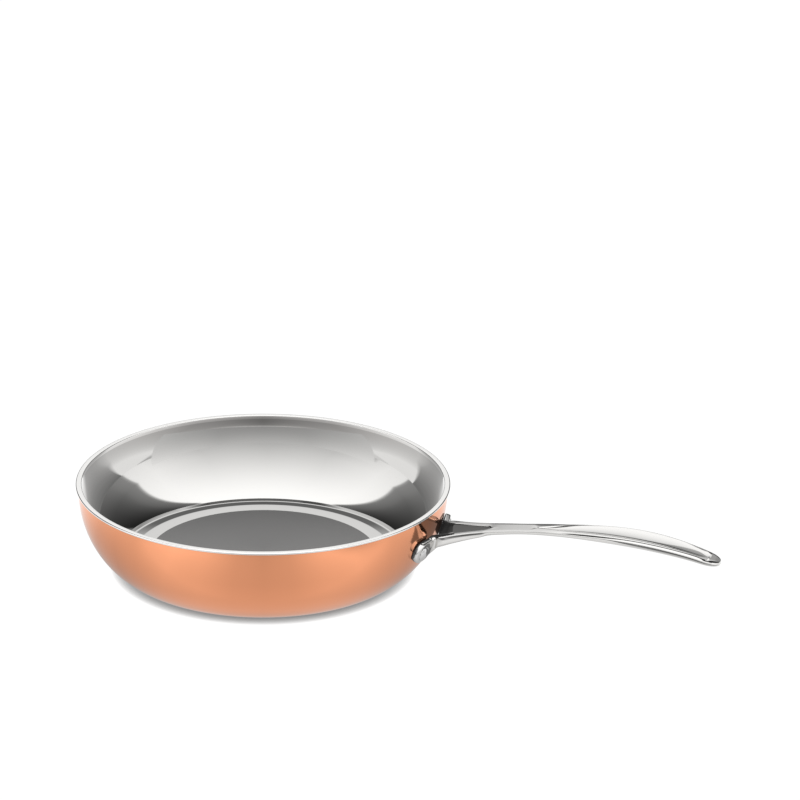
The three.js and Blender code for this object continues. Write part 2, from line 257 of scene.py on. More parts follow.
# %% Steel liner with its lip
BRUSHED_RADIUS = 86
DISC_CROWN = 3.2
CREASE_HEIGHT = FLOOR - 0.3
LIP_ROUND = 0.85
LIP_INNER_ROUND = 0.5
FACET = ((0.1, -0.04), (1.3, -0.57), (2.5, -1.1), (2.8, -1.15), (3.6, -1.15))
SLOPE_SHARES = (0.05, 0.1, 0.3, 0.5, 0.7, 0.9, 0.97)
DISC_RADII = (BRUSHED_RADIUS, BRUSHED_RADIUS - 0.3, 80, 70, 60, 50, 40, 30, 20, 10, 0)
liner_depth = core_depth + CORE + BOND
wall_depth = liner_depth + LINER
under_floor = FLOOR - LINER
inner_wall = WALL_RADIUS - wall_depth
cooking_face = layer_face(wall_depth, CREASE_HEIGHT)
crease = cooking_face[0].x
lip_side = RIM_RADIUS - LIP_ROUND
liner_profile = [Vector((r, under_floor)) for r in (0, GROOVE_EDGE - 0.5)]
liner_profile += [Vector((GROOVE_FOOT, GROOVE_UNDER))]
liner_profile += layer_face(liner_depth, GROOVE_UNDER)
liner_profile += [Vector((WALL_RADIUS - liner_depth, LIP_UNDERSIDE))]
liner_profile += arc(lip_side, LIP_UNDERSIDE + LIP_ROUND, LIP_ROUND, -90, 0)
liner_profile += arc(lip_side, PAN_HEIGHT - LIP_ROUND, LIP_ROUND, 0, 90)
liner_profile += arc(inner_wall + LIP_INNER_ROUND, PAN_HEIGHT - LIP_INNER_ROUND, LIP_INNER_ROUND, 90, 180)
liner_profile += cooking_face[::-1]
for inward, rise in FACET:
    liner_profile += [Vector((crease - inward, CREASE_HEIGHT + rise))]
for share in SLOPE_SHARES:
    liner_profile += [Vector((lerp(GROOVE_FOOT, GROOVE_EDGE, share), lerp(GROOVE_FLOOR, FLOOR, share)))]
liner_profile += [Vector((r, FLOOR)) for r in (GROOVE_EDGE - 0.8, BRUSHED_RADIUS + 5, BRUSHED_RADIUS + 0.3)]
for r in DISC_RADII:
    liner_profile += [Vector((r, FLOOR + DISC_CROWN * (1 - (r / BRUSHED_RADIUS) ** 2)))]
steel_liner = spin_profile("steel_cooking_face", liner_profile, ROUND_STEPS)
smooth_shade(steel_liner, 12)
print("crease at radius", round(crease, 1), "mm")

# %% [markdown]
# ## Rivets
# Each rivet is a solid pin with a low dome outside and a flatter head inside. It stands square to the
# wall, so its frame is worked out from the wall's slope at its height. Flattened spheres could stand for
# the heads, but a spun profile gives head, rim and pin in one closed piece. One is modelled at the origin,
# and a copy of it is turned to the other side.

# %% Where the rivets stand
RIVET_HEIGHT = 40.3
RIVET_SPREAD = 56
WALL_CLEARANCE = 0.3
LUG_THICKNESS = 4.5
LUG_FACE = WALL_CLEARANCE + LUG_THICKNESS
rivet_t = solve(lambda t: bezier(CURVE, t).y, RIVET_HEIGHT)
rivet_radius = bezier(CURVE, rivet_t).x
wall_slope = bezier_heading(CURVE, rivet_t)
rivet_turn = math.asin(RIVET_SPREAD / 2 / rivet_radius)


def rivet_frame(side):
    turn = side * rivet_turn
    level = Vector((math.cos(turn), math.sin(turn), 0))
    outward = level * wall_slope.y - Vector((0, 0, wall_slope.x))
    upward = level * wall_slope.x + Vector((0, 0, wall_slope.y))
    foot = level * rivet_radius + Vector((0, 0, RIVET_HEIGHT))
    return foot, outward, upward


# %% Rivets with domed heads
SHANK_RADIUS = 3
OUTER_HEAD, INNER_HEAD = 5.6, 6.0
HEAD_EDGE = 0.5
OUTER_DOME, INNER_DOME = 2.4, 0.9
inner_seat = -wall_depth - 0.6


def dome(radius, height, base, sign):
    crown = height - HEAD_EDGE
    sphere = (radius ** 2 + crown ** 2) / (2 * crown)
    reach = math.degrees(math.asin(radius / sphere))
    rim = arc(0, 0, sphere, 90 - reach, 90, 12)
    return [Vector((abs(p.x), base + sign * (HEAD_EDGE + p.y - sphere + crown))) for p in rim]


outer_seat = LUG_FACE + 0.1
rivet_profile = dome(INNER_HEAD, INNER_DOME, inner_seat, -1)[::-1]
rivet_profile += [Vector((INNER_HEAD, inner_seat - 0.1)), Vector((INNER_HEAD - 0.1, inner_seat)),
                  Vector((SHANK_RADIUS, inner_seat)), Vector((SHANK_RADIUS, outer_seat - 0.6)),
                  Vector((OUTER_HEAD - 0.1, outer_seat - 0.6)), Vector((OUTER_HEAD, outer_seat - 0.5))]
rivet_profile += dome(OUTER_HEAD, OUTER_DOME, outer_seat, 1)
rivet_profile[0].x = 0
rivet_profile[-1].x = 0
rivet_near = spin_profile("rivet_near_side", rivet_profile, 64)
smooth_shade(rivet_near, 40)
select_only(rivet_near)
bpy.ops.object.duplicate(linked=False)
rivet_far = bpy.context.object
rivet_far.name = "rivet_far_side"
for rivet, side in ((rivet_near, -1), (rivet_far, 1)):
    foot, outward, _ = rivet_frame(side)
    select_only(rivet)
    rivet.location = foot * MM
    rivet.rotation_euler = outward.to_track_quat("Z", "Y").to_euler()
    bpy.ops.object.transform_apply()
print("rivets at radius", round(rivet_radius, 1), "mm")

# %% [markdown]
# ## Handle
# The handle is one steel casting: two lugs, two arms that meet in a fork, a narrow neck, and a grip
# with a long scoop in its top. It is the same on both sides, so one half is modelled and mirrored.
# The half starts as a flat grid with one row of points for each section along the handle. Each row is
# moved to its section, the first and last columns are merged so that the grid becomes a tube, and
# Mirror and Subdivision Surface finish the casting. A grid was chosen over extruding section by
# section because every point of a section has a place of its own.
#
# The belt leaves some edges crisp and rounds the rest. So the scoop's edge and the outer corner are
# creased, and the grip's side leans out a little towards its lower half, which draws the dark line
# along its bottom edge.

# %% The handle's lines: arch, width and thickness along its length
ROOT_X = WALL_RADIUS + 8
FORK_X = WALL_RADIUS + 41 - 3.6
TIP_X = WALL_RADIUS + 215.8
END_X = TIP_X - 15.8
SCOOP_START = WALL_RADIUS + 75
SCOOP_FULL = WALL_RADIUS + 102
SCOOP_END = TIP_X - 7.8
ROOT_TOP = PAN_HEIGHT - 17.7
TIP_TOP = PAN_HEIGHT - 12.2
ARCH = [Vector((ROOT_X, ROOT_TOP)), Vector((ROOT_X + 120, ROOT_TOP + 120 * 0.182)),
        Vector((TIP_X - 54, TIP_TOP + 54 * 0.268)), Vector((TIP_X, TIP_TOP))]
FORK_RADIUS = 3.6
FORK_MOUTH = 19.6


def along_table(table, x):
    xs = [pair[0] for pair in table]
    ys = [pair[1] for pair in table]
    x = min(max(x, xs[0]), xs[-1])
    i = max(k for k in range(len(xs) - 1) if xs[k] <= x)
    slopes = [(ys[k + 1] - ys[k]) / (xs[k + 1] - xs[k]) for k in range(len(xs) - 1)]
    ends = [slopes[0]] + [(a + b) / 2 for a, b in zip(slopes, slopes[1:])] + [slopes[-1]]
    h = xs[i + 1] - xs[i]
    t = (x - xs[i]) / h
    return ((2 * t ** 3 - 3 * t ** 2 + 1) * ys[i] + (t ** 3 - 2 * t ** 2 + t) * h * ends[i]
            + (3 * t ** 2 - 2 * t ** 3) * ys[i + 1] + (t ** 3 - t ** 2) * h * ends[i + 1])


HALF_WIDTHS = [(146.2, 17.75), (155, 14.3), (165, 11.5), (179.2, 9.3), (190, 8.65), (202, 8.2),
               (214, 8.5), (228, 9.5), (255, 11.8), (288.2, 13.4), (312, 12.9), (338.2, 10.5), (360, 8.6)]
THICKNESSES = [(146.2, 7.3), (155, 6.5), (165, 5.4), (172, 4.6), (179.2, 3.8), (188, 3.6),
               (204, 3.6), (235, 4.5), (288.2, 6.6), (354, 5.6)]


def arch_top(x):
    return bezier(ARCH, solve(lambda t: bezier(ARCH, t).x, x)).y


def half_width(x):
    return along_table(HALF_WIDTHS, x)


def thickness(x):
    return along_table(THICKNESSES, x)


def gap_half(x):
    return lerp(FORK_RADIUS, FORK_MOUTH / 2, (FORK_X - x) / (FORK_X - ROOT_X))


# %% One section of the beam: eleven points round the half section, then two up its middle
ROLL_WIDTH, ROLL_DROP = 3.4, 1.5
SCOOP_DEPTH = 2.0
SCOOP_END_SHARE = 0.75
CREST_SINK = 0.45
TIP_POWER = 2.6
GRIP_WIDENS = (206, 256)
CREST_SINKS = (181, 216)
SIDE_LEANS = (268, 290)
SCOOP_RISES = (300, 325)


def beam_section(x):
    grip = ease(*GRIP_WIDENS, x)
    out = min(1, max(0, (x - END_X) / (TIP_X - END_X)))
    closing = max(0.02, (1 - out ** TIP_POWER)) ** (1 / TIP_POWER)
    width = half_width(min(x, END_X)) * closing
    top = arch_top(x) - CREST_SINK * ease(*CREST_SINKS, x)
    bottom = arch_top(x) - thickness(x) + 1.4 * out ** 2
    tip_roll = ROLL_DROP * ease(SCOOP_END + 1, TIP_X + 2, x) * 0.5
    edge = max(top - lerp(0.4, ROLL_DROP, grip) - 0.25 * tip_roll, bottom + 1.2)
    opening = min(1, max(0, (x - SCOOP_START) / (SCOOP_FULL - SCOOP_START)))
    shutting = min(1, max(0, (SCOOP_END - x) / (SCOOP_END - END_X)))
    rounding = math.sqrt(max(0, 1 - (1 - shutting) ** 2))
    in_scoop = SCOOP_START < x < SCOOP_END
    roll = lerp(0.22 * width, min(ROLL_WIDTH, 0.4 * width), grip)
    full_crest = width - roll
    crest = max(0.5, full_crest * opening * rounding) if in_scoop else full_crest * 0.8
    end_share = lerp(1, SCOOP_END_SHARE, ease(*SCOOP_RISES, x))
    depth = SCOOP_DEPTH * math.sqrt(opening) * rounding * end_share if in_scoop else 0
    crest_z = top - tip_roll
    shoulder = lerp(crest, width, 0.5)
    lean = ease(*SIDE_LEANS, x)
    scoop_points = [(0, crest_z - depth), (0.5 * crest, crest_z - 0.75 * depth),
                    (0.9 * crest, crest_z - 0.19 * depth), (crest, crest_z)]
    side_points = [(shoulder, lerp(crest_z, edge, lerp(0.1, 0.3, grip))),
                   (width - lerp(0.1, 0.42, lean), edge + 0.1),
                   (width - 0.07 * lean, lerp(edge, bottom, 0.3)),
                   (width - 0.3 * (1 - lean), lerp(edge, bottom, lerp(0.75, 0.6, lean)))]
    base_points = [(max(0.6 * width, width - 1.5), bottom + 0.06 * (edge - bottom)),
                   (0.45 * width, bottom), (0, bottom)]
    middle_points = [(0, lerp(bottom, crest_z, 0.2)), (0, lerp(bottom, crest_z, 0.6))]
    return scoop_points + side_points + base_points + middle_points


# %% The arm: rings that follow the fork, bend round to the wall and end in the lug's round tongue
LUG_RADIUS = 8.5
LUG_END = 10.2
BACK_COLUMNS = (11, 12)
SEAT = 0.06
LUG_RING = [(-0.8, 1), (-0.4, 1), (0, 1), (0.4, 1), (0.84, 0.94), (1, 0.8), (1, 0.3), (1, -0.5),
            (0.84, -0.94), (0.4, -1), (-0.8, -1), (-1, -0.94), (-1, 0.94)]
ARM_RING = [(-0.75, 1), (-0.3, 1), (0.2, 1), (0.6, 1), (0.78, 0.98), (0.87, 0.86), (1, 0.1), (0.97, -0.6),
            (0.88, -0.95), (0.5, -1), (-0.75, -1), (-1, -0.8), (-1, 0.8)]
ARM_LEAN = 0.3


def ring_points(centre, across, upward, half, above, below, arm_share, lean):
    points = []
    for lug_point, arm_point in zip(LUG_RING, ARM_RING):
        p, q = (lerp(a, b, arm_share) for a, b in zip(lug_point, arm_point))
        deeper = 1 + lean * (1 - p) if q < 0 else 1
        points.append(centre + across * (p * half) + upward * (q * (above if q > 0 else below * deeper)))
    return points


def rest_on_wall(point):
    wall = bezier(CURVE, solve(lambda t: bezier(CURVE, t).y, point.z)).x
    level = Vector((point.x, point.y, 0)).normalized() * (wall + SEAT)
    return Vector((level.x, level.y, point.z))


def lug_rings(foot, outward, lug_up, to_axis):
    rings = []
    for degrees in (10, 24, 40, 58, 76, 94):
        bearing = math.radians(degrees)
        front = LUG_THICKNESS * lerp(0.62, 1, ease(0, 45, degrees))
        centre = foot + outward * (WALL_CLEARANCE + front / 2) - to_axis * (LUG_RADIUS * math.cos(bearing))
        reach = LUG_RADIUS * math.sin(bearing)
        rings.append(ring_points(centre, outward, lug_up, front / 2, reach, reach, 0, 0))
    middle = foot + outward * (WALL_CLEARANCE + LUG_THICKNESS / 2)
    for d, above, below in ((3.4, 8.5, 8.7), (6, 8.3, 8.5), (8.6, 8.0, 7.4), (LUG_END, 7.6, 5.4)):
        centre = middle + to_axis * d
        rings.append(ring_points(centre, outward, lug_up, LUG_THICKNESS / 2, above, below, 0, 0))
    for ring in rings:
        for column in BACK_COLUMNS:
            ring[column] = rest_on_wall(ring[column])
    return rings, middle + to_axis * LUG_END


def arm_rings():
    foot, outward, lug_up = rivet_frame(1)
    to_axis = Vector((outward.y, -outward.x, 0)).normalized()
    rings, last = lug_rings(foot, outward, lug_up, to_axis)
    root_y = (half_width(ROOT_X) + gap_half(ROOT_X)) / 2
    root = Vector((ROOT_X, root_y, ROOT_TOP - thickness(ROOT_X) / 2))
    ahead_y = (half_width(ROOT_X + 6) + gap_half(ROOT_X + 6)) / 2
    leaving = Vector((6, ahead_y - root_y, 0)).normalized()
    bend = [last, last + to_axis * 4.5, root - leaving * 4.5, root]
    lug_top = (last + lug_up * 7.6).z
    for t in (0.22, 0.45, 0.7, 1.0):
        heading = bezier_heading(bend, t)
        across = Vector((-heading.y, heading.x, 0)).normalized()
        across = (outward * (1 - t) + across * t).normalized() if t < 0.5 else across
        upward = (lug_up * (1 - t) + Vector((0, 0, 1)) * t).normalized()
        half = lerp(LUG_THICKNESS / 2, (half_width(ROOT_X) - gap_half(ROOT_X)) / 2, ease(0, 1, t))
        above = (lerp(lug_top, ROOT_TOP, t ** 0.5) - bezier(bend, t).z) / upward.z
        below = lerp(5.2, thickness(ROOT_X) / 2, t ** 0.6)
        rings.append(ring_points(bezier(bend, t), across, upward, half, above, below, t, ARM_LEAN * t))
    for x in (150, 154.5, 159, 163.5, 168, 172, FORK_X):
        half = (half_width(x) - gap_half(x)) / 2
        high = thickness(x) / 2
        centre = Vector((x, (half_width(x) + gap_half(x)) / 2, arch_top(x) - high))
        lean = ARM_LEAN * (FORK_X - x) / (FORK_X - ROOT_X)
        rings.append(ring_points(centre, Vector((0, 1, 0)), Vector((0, 0, 1)), half, high, high, 1, lean))
    return rings


# %% Rows for the whole half, from the lug to the tip
INNER_COLUMNS = (0, 10, 11, 12)


def fork_end(x, inner_x, inner_y):
    points = [Vector((x, y, z)) for y, z in beam_section(x)]
    for column in INNER_COLUMNS:
        points[column].x = inner_x
        points[column].y = inner_y
    return points


rows = arm_rings()
rows.append(fork_end(177.6, FORK_X + 0.71 * FORK_RADIUS, 0.71 * FORK_RADIUS))
rows.append(fork_end(180.2, FORK_X + FORK_RADIUS, 0))
BEAM_START = len(rows)
STATIONS = [183.5, 188, 193, 198, 203, 208, 211.5, 214, 217, 221, 226, 232, 238, 244, 252, 261, 270, 280,
            290, 300, 310, 319, 327, 333, 337.5, 341, 343.7, 345.4, 346.6, 348, 349.6, 351.2, 352.5, 353.4,
            353.9]
rows += [[Vector((x, y, z)) for y, z in beam_section(x)] for x in STATIONS]
rows = [row + [row[0]] for row in rows]
COLUMNS = len(rows[0])
print("handle rows:", len(rows), "points in each:", COLUMNS)

# %% Wrap a grid over the rows, and close it to a tube by merging its first and last columns
bpy.ops.object.select_all(action="DESELECT")
bpy.ops.mesh.primitive_grid_add(x_subdivisions=COLUMNS - 1, y_subdivisions=len(rows) - 1, size=0.2)
handle = bpy.context.object
handle.name = "handle_casting"
bpy.ops.object.transform_apply()
for vertex in handle.data.vertices:
    row, column = divmod(vertex.index, COLUMNS)
    vertex.co = rows[row][column] * MM

# %% Crease two edges before the columns merge, while every point still has its row and column
CREST_COLUMN, CORNER_COLUMN = 3, 5
FIRST_ARM_ROW = 12
SCOOP_CREASE, CORNER_CREASE = 0.55, 0.8
first_scoop = BEAM_START + next(i for i, x in enumerate(STATIONS) if x > SCOOP_START)


def is_scoop_edge(edge):
    (row_a, column_a), (row_b, column_b) = sorted(divmod(v, COLUMNS) for v in edge.vertices)
    return column_a == column_b == CREST_COLUMN and row_a >= first_scoop and row_b < len(rows) - 6


def is_outer_corner(edge):
    (row_a, column_a), (row_b, column_b) = sorted(divmod(v, COLUMNS) for v in edge.vertices)
    return column_a == column_b == CORNER_COLUMN and row_a >= FIRST_ARM_ROW and row_b < len(rows) - 4


def is_lug_end(edge):
    return all(v < COLUMNS for v in edge.vertices)


def is_tip_end(edge):
    return all(v >= (len(rows) - 1) * COLUMNS for v in edge.vertices)


select_where(handle, "EDGE", is_scoop_edge)
bpy.ops.transform.edge_crease(value=SCOOP_CREASE)
select_where(handle, "EDGE", is_outer_corner)
bpy.ops.transform.edge_crease(value=CORNER_CREASE)
for is_end in (is_lug_end, is_tip_end):
    select_where(handle, "EDGE", is_end)
    bpy.ops.mesh.edge_face_add()

# %% Merge the columns, and take out the wall that lies on the mirror plane
bpy.ops.mesh.select_all(action="SELECT")
bpy.ops.mesh.remove_doubles(threshold=MERGE_WITHIN)


def on_mirror_plane(face):
    return all(abs(handle.data.vertices[v].co.y) < 0.01 * MM for v in face.vertices)


select_where(handle, "FACE", on_mirror_plane)
bpy.ops.mesh.delete(type="FACE")
bpy.ops.mesh.select_all(action="SELECT")
bpy.ops.mesh.normals_make_consistent(inside=False)
bpy.ops.object.mode_set(mode="OBJECT")
print("half handle:", len(handle.data.vertices), "points,", len(handle.data.polygons), "faces")

# %% Mirror the half and round it
apply_modifier(handle, "MIRROR", use_axis=(False, True, False), use_clip=True, merge_threshold=0.00002)
apply_modifier(handle, "SUBSURF", levels=2, render_levels=2)
select_only(handle)
bpy.ops.object.shade_smooth()
print("handle:", len(handle.data.polygons), "faces")

# %% [markdown]
# ## Metals
# Everything that shows is bare metal, so the finish is mostly in how each was worked: buffed copper and
# steel keep faint lines that run round the pan, the floor was brushed in circles, and the casting was
# polished by hand on a belt. Two colours hold painted light: the lip's steel is lighter, a painted
# highlight, and the brushed disc's is darker, painted shade. A picture of scratches could be laid on
# each, but noise can be given its spacing in millimetres and has no seam.

# %% A helper that adds a node, and the plain start of a metal
MATH, RANGE, MIX = "ShaderNodeMath", "ShaderNodeMapRange", "ShaderNodeMix"
VECTOR, RAMP, AXES = "ShaderNodeVectorMath", "ShaderNodeValToRGB", "ShaderNodeSeparateXYZ"


def add(tree, kind, links=(), **settings):
    node = tree.nodes.new(kind)
    for name, value in settings.items():
        setattr(node, name, value)
    for socket, value in dict(links).items():
        source = value.outputs[0] if isinstance(value, bpy.types.Node) else value
        if isinstance(source, bpy.types.NodeSocket):
            tree.links.new(source, node.inputs[socket])
        else:
            node.inputs[socket].default_value = source
    return node


def new_metal(name, colour):
    material = bpy.data.materials.new(name)
    material.use_nodes = True
    tree = material.node_tree
    shader = tree.nodes["Principled BSDF"]
    shader.inputs["Metallic"].default_value = 1
    shader.inputs["Base Color"].default_value = linear(colour)
    return material, tree, shader


# %% [markdown]
# Buffing and brushing leave fine lines, and on a turning wheel they run round the pan. A noise gives
# them: its place is the direction from the axis, which changes slowly, and the way along the sheet,
# which changes fast. The lines move the roughness, and stand a few thousandths of a millimetre high at
# most. Real ones lie about a tenth of a millimetre apart, which is too fine to show in the picture, so
# they are drawn several times as coarse.

# %% Lines round the pan's axis, and lines along the handle
def round_lines(tree, spacing_mm):
    place = add(tree, "ShaderNodeTexCoord").outputs["Object"]
    level = add(tree, VECTOR, {0: place, 1: (1, 1, 0)}, operation="MULTIPLY")
    radius = add(tree, VECTOR, {0: level}, operation="LENGTH").outputs["Value"]
    height = add(tree, AXES, {0: place}).outputs["Z"]
    along = add(tree, MATH, {0: radius, 1: height}, operation="ADD")
    fine = add(tree, MATH, {0: along, 1: 1 / (spacing_mm * MM)}, operation="MULTIPLY")
    round_axis = add(tree, VECTOR, {0: level}, operation="NORMALIZE")
    slow = add(tree, VECTOR, {0: round_axis, "Scale": 7}, operation="SCALE")
    sides = add(tree, AXES, {0: slow}).outputs
    lines = add(tree, "ShaderNodeCombineXYZ", {"X": sides["X"], "Y": sides["Y"], "Z": fine})
    return add(tree, "ShaderNodeTexNoise", {"Vector": lines, "Scale": 1, "Detail": 3})


def belt_lines(tree, spacing_mm, length_mm):
    place = add(tree, "ShaderNodeTexCoord").outputs["Object"]
    across = 1 / (spacing_mm * MM)
    scale = (1 / (length_mm * MM), across, across)
    lines = add(tree, VECTOR, {0: place, 1: scale}, operation="MULTIPLY")
    return add(tree, "ShaderNodeTexNoise", {"Vector": lines, "Scale": 1, "Detail": 2})


def finish_metal(tree, shader, lines, smoothest, roughest, height_mm):
    marks = lines.outputs["Fac"]
    rough = add(tree, RANGE, {"Value": marks, "From Min": 0.3, "From Max": 0.7,
                              "To Min": smoothest, "To Max": roughest})
    bump = add(tree, "ShaderNodeBump", {"Height": marks, "Strength": 1, "Distance": height_mm * MM})
    tree.links.new(rough.outputs[0], shader.inputs["Roughness"])
    tree.links.new(bump.outputs[0], shader.inputs["Normal"])


def brush_round(tree, shader, amount):
    tangent = add(tree, "ShaderNodeTangent", direction_type="RADIAL", axis="Z")
    shader.inputs["Anisotropic"].default_value = amount
    shader.inputs["Anisotropic Rotation"].default_value = 0.25
    tree.links.new(tangent.outputs[0], shader.inputs["Tangent"])


# %% The finishes
# Copper buffed on a wheel: a satin sheen, whose highlights run out sideways into soft bands
buffed_copper, tree, shader = new_metal("buffed_copper", "#F4A57B")
finish_metal(tree, shader, round_lines(tree, 0.9), 0.09, 0.12, 0.0002)
brush_round(tree, shader, 0.5)
# Polished stainless steel: nearly a mirror, so the wall shows the room crisply
polished_steel, tree, shader = new_metal("polished_stainless_steel", "#D3D2D0")
finish_metal(tree, shader, round_lines(tree, 1.5), 0.03, 0.06, 0.0005)
# The lip: buffed steel, written lighter than the wall's, a painted highlight that draws a thin white line
# round the bowl
lip_highlight_steel, tree, shader = new_metal("lip_steel_painted_highlight", "#F4F3F1")
finish_metal(tree, shader, round_lines(tree, 1.5), 0.04, 0.08, 0.0003)
# Stainless steel brushed in circles: a dull grey disc, its colour written darker than bare steel as painted
# shade for the shadow that its marks hold
brushed_steel_painted_shade, tree, shader = new_metal("brushed_stainless_steel_painted_shade", "#727170")
finish_metal(tree, shader, round_lines(tree, 0.5), 0.18, 0.24, 0.0008)
brush_round(tree, shader, 0.6)
# Cast steel polished on a belt: nearly a mirror, with faint streaks along the handle
cast_steel, tree, shader = new_metal("belt_polished_cast_steel", "#D8D7D5")
finish_metal(tree, shader, belt_lines(tree, 1.2, 40), 0.05, 0.1, 0.0006)
# Turned steel rivets: a little duller than the handle
rivet_steel, tree, shader = new_metal("turned_rivet_steel", "#D8D8D8")
finish_metal(tree, shader, belt_lines(tree, 1.0, 6), 0.08, 0.14, 0.0006)
# Aluminium as it leaves the mill: pale and dull, and hidden between the skins
mill_aluminium, tree, shader = new_metal("mill_aluminium", "#B9BCC0")
finish_metal(tree, shader, round_lines(tree, 0.6), 0.38, 0.5, 0.004)

# %% Give each piece its metal, and the liner two more: the brushed disc with its painted shade, and the lip with its painted highlight
METALS = ((copper_skin, [buffed_copper]), (core_plate, [mill_aluminium]), (handle, [cast_steel]),
          (steel_liner, [polished_steel, brushed_steel_painted_shade, lip_highlight_steel]),
          (rivet_near, [rivet_steel]), (rivet_far, [rivet_steel]))
for piece, metals in METALS:
    piece.data.materials.clear()
    for metal in metals:
        piece.data.materials.append(metal)
    print(piece.name, "takes", [metal.name for metal in metals])
for face in steel_liner.data.polygons:
    centre = face.center / MM
    if FLOOR - 0.01 < centre.z < FLOOR + DISC_CROWN + 0.01 and centre.xy.length < BRUSHED_RADIUS:
        face.material_index = 1
    elif centre.z > LIP_UNDERSIDE - 0.5:
        face.material_index = 2

# %% [markdown]
# ## Floor and light
# Polished metal has little look of its own: it shows the room. A studio lights such a pan with white
# paper, black flags and small cards, and moves them until each face has its tone. The same is done here,
# so what the metal sees is laid out round the photograph's view.
#
# The floor is a sheet of white paper. To the camera it glows plain white, but for a thin shadow where the
# pan stands, which ambient occlusion finds. To reflections it is graded, because the copper and the bowl
# in the photograph don't mirror an even white. Lamps and torn paper could give that too, but ramps by
# distance and direction can be read, and changed one at a time.

# %% Floor
FLOOR_SIZE = 16
FLOOR_DROP = 0.2
bpy.ops.object.select_all(action="DESELECT")
bpy.ops.mesh.primitive_plane_add(size=FLOOR_SIZE, location=metres(0, 0, -FLOOR_DROP))
floor = bpy.context.object
floor.name = "floor"
bpy.ops.object.transform_apply()
paper = bpy.data.materials.new("white_paper_floor")
paper.use_nodes = True
floor.data.materials.append(paper)
tree = paper.node_tree
shader = tree.nodes["Principled BSDF"]
shader.inputs["Base Color"].default_value = linear("#404040")
shader.inputs["Roughness"].default_value = 1
shader.inputs["Specular IOR Level"].default_value = 0
shader.inputs["Emission Color"].default_value = (1, 1, 1, 1)


def fill_ramp(ramp, low, high, stops):
    elements = ramp.color_ramp.elements
    while len(elements) < len(stops):
        elements.new(0.5)
    for element, (position, value) in zip(elements, stops):
        element.position = (position - low) / (high - low)
        element.color = (value, value, value, 1)


# %% Where a point of the paper lies: nearer the camera, to the right of the pan, and its bearing from it
place = add(tree, "ShaderNodeTexCoord").outputs["Object"]
nearer = add(tree, VECTOR, {0: place, 1: level_back}, operation="DOT_PRODUCT").outputs["Value"]
aside = add(tree, VECTOR, {0: place, 1: to_right}, operation="DOT_PRODUCT").outputs["Value"]
distance = add(tree, VECTOR, {0: place}, operation="LENGTH").outputs["Value"]
bearing = add(tree, MATH, {0: aside, 1: nearer}, operation="ARCTAN2")
bearing = add(tree, MATH, {0: bearing}, operation="ABSOLUTE")
bearing = add(tree, RANGE, {"Value": bearing, "From Max": math.pi})

# %% The paper in front: by distance in metres, with bands by bearing in degrees for the copper's highlights
FRONT_BANDS = [(0, 0), (12, 0.06), (26, 0.26), (42, 0.38), (56, 0.28), (72, 0.08), (95, 0.02)]
FRONT_PAPER = [(0.09, 0.34), (0.105, 0.8), (0.115, 0.86), (0.13, 0.72), (0.16, 0.66), (0.29, 0.64),
               (0.33, 0.3), (0.4, 0.06), (0.45, 0.05)]
OFF_AXIS_PAPER = 0.85
GRIP_PAPER = 0.55
bands = add(tree, RAMP, {0: bearing})
fill_ramp(bands, 0, 180, FRONT_BANDS)
band_share = add(tree, RANGE, {"Value": distance, "From Min": 0.12, "From Max": 0.27,
                               "To Min": 0.4, "To Max": 1.4})
fall_off = add(tree, RANGE, {"Value": distance, "From Min": 0.09, "From Max": 0.45})
fall_off = add(tree, RAMP, {0: fall_off})
fill_ramp(fall_off, 0.09, 0.45, FRONT_PAPER)
in_front = add(tree, MATH, {0: bands, 1: band_share, 2: fall_off}, operation="MULTIPLY_ADD")
off_axis = add(tree, RANGE, {"Value": bearing, "From Min": 0.28, "From Max": 0.33,
                             "To Max": OFF_AXIS_PAPER})
in_front = add(tree, MATH, {0: in_front, 1: off_axis}, operation="MAXIMUM")
grip_side = add(tree, RANGE, {"Value": aside, "From Min": 0.14, "From Max": 0.22})
grip_front = add(tree, RANGE, {"Value": nearer, "From Min": 0.12, "From Max": 0.2})
under_grip = add(tree, MATH, {0: grip_side, 1: grip_front}, operation="MULTIPLY")
in_front = add(tree, MIX, {0: under_grip, 2: in_front, 3: GRIP_PAPER})

# %% The paper behind: bright up to a border that bends away at both sides, and dark beyond it
BACK_PAPER = [(0.16, 0.52), (0.172, 0.4), (0.185, 0.34), (0.21, 0.28), (0.26, 0.24), (0.3, 0.22),
              (0.6, 0.18)]
BRIGHTEST_PAPER = 1.05
BENDS_LEFT_FROM, BEND_LEFT = -0.06, 0.4
BENDS_RIGHT_FROM, BEND_RIGHT = 0.08, -0.22
farther = add(tree, MATH, {0: nearer, 1: -1}, operation="MULTIPLY")
beyond = add(tree, RANGE, {"Value": farther, "From Min": 0.16, "From Max": 0.6})
beyond = add(tree, RAMP, {0: beyond})
fill_ramp(beyond, 0.16, 0.6, BACK_PAPER)
off_centre = add(tree, MATH, {0: aside}, operation="ABSOLUTE")
beside = add(tree, MATH, {0: off_centre, 1: 2.5, 2: 0.2}, operation="MULTIPLY_ADD")
back_half = add(tree, MATH, {0: farther, 1: 0.0}, operation="MAXIMUM")
beside = add(tree, MATH, {0: back_half, 1: 3.0, 2: beside}, operation="MULTIPLY_ADD")
beside = add(tree, MATH, {0: beside, 1: BRIGHTEST_PAPER}, operation="MINIMUM")
left_bend = add(tree, MATH, {0: aside, 1: -BENDS_LEFT_FROM}, operation="ADD")
left_bend = add(tree, MATH, {0: left_bend, 1: 0.0}, operation="MINIMUM")
right_bend = add(tree, MATH, {0: aside, 1: -BENDS_RIGHT_FROM}, operation="ADD")
right_bend = add(tree, MATH, {0: right_bend, 1: 0.0}, operation="MAXIMUM")
border = add(tree, MATH, {0: left_bend, 1: BEND_LEFT, 2: farther}, operation="MULTIPLY_ADD")
border = add(tree, MATH, {0: right_bend, 1: BEND_RIGHT, 2: border}, operation="MULTIPLY_ADD")
border = add(tree, RANGE, {"Value": border, "From Min": 0.149, "From Max": 0.165})
behind = add(tree, MIX, {0: border, 2: beside, 3: beyond})
